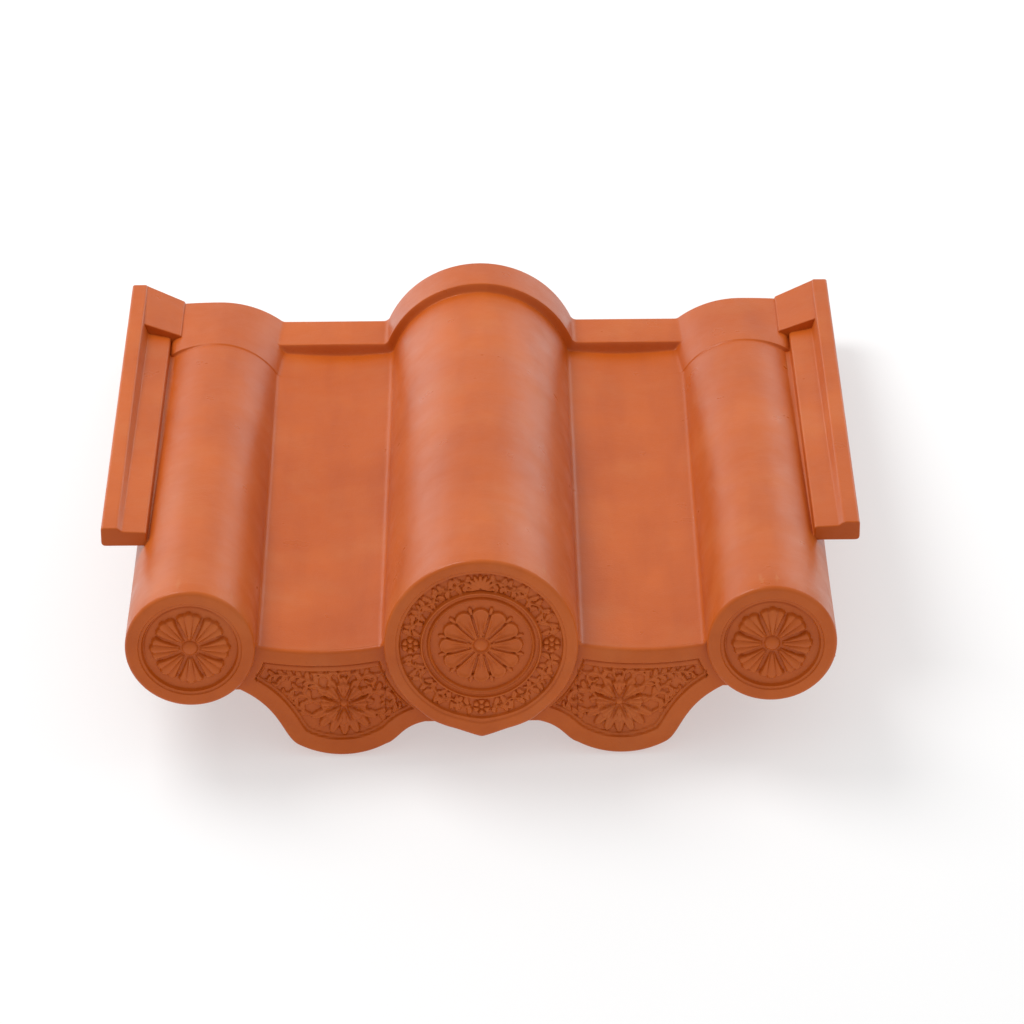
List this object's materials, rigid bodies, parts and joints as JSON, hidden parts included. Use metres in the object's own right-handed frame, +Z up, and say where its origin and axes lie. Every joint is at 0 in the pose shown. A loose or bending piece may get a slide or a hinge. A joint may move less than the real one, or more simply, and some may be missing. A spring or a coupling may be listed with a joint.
{
  "type": "clay eaves roof tile",
  "caption": "Pressed clay eaves tile: round-topped rolls and pans between them, side flanges, and a moulded front plate with discs and pendants that closes the roof's edge.",
  "frame": {"origin": "bottom centre of the bounding box, on the floor the tile rests on", "axes": "+Z up, -Y towards the moulded front plate, +X to the right seen from the front; the pans slope down towards +Y, because the tile stands on its pendants and its head"},
  "size_m": [0.4504, 0.4444, 0.1351],
  "materials": {
    "clay": "satin orange-brown fired clay with a smooth, faintly mottled skin"
  },
  "bodies": {
    "root": {"eaves_tile": "clay"}
  },
  "joints": []
}
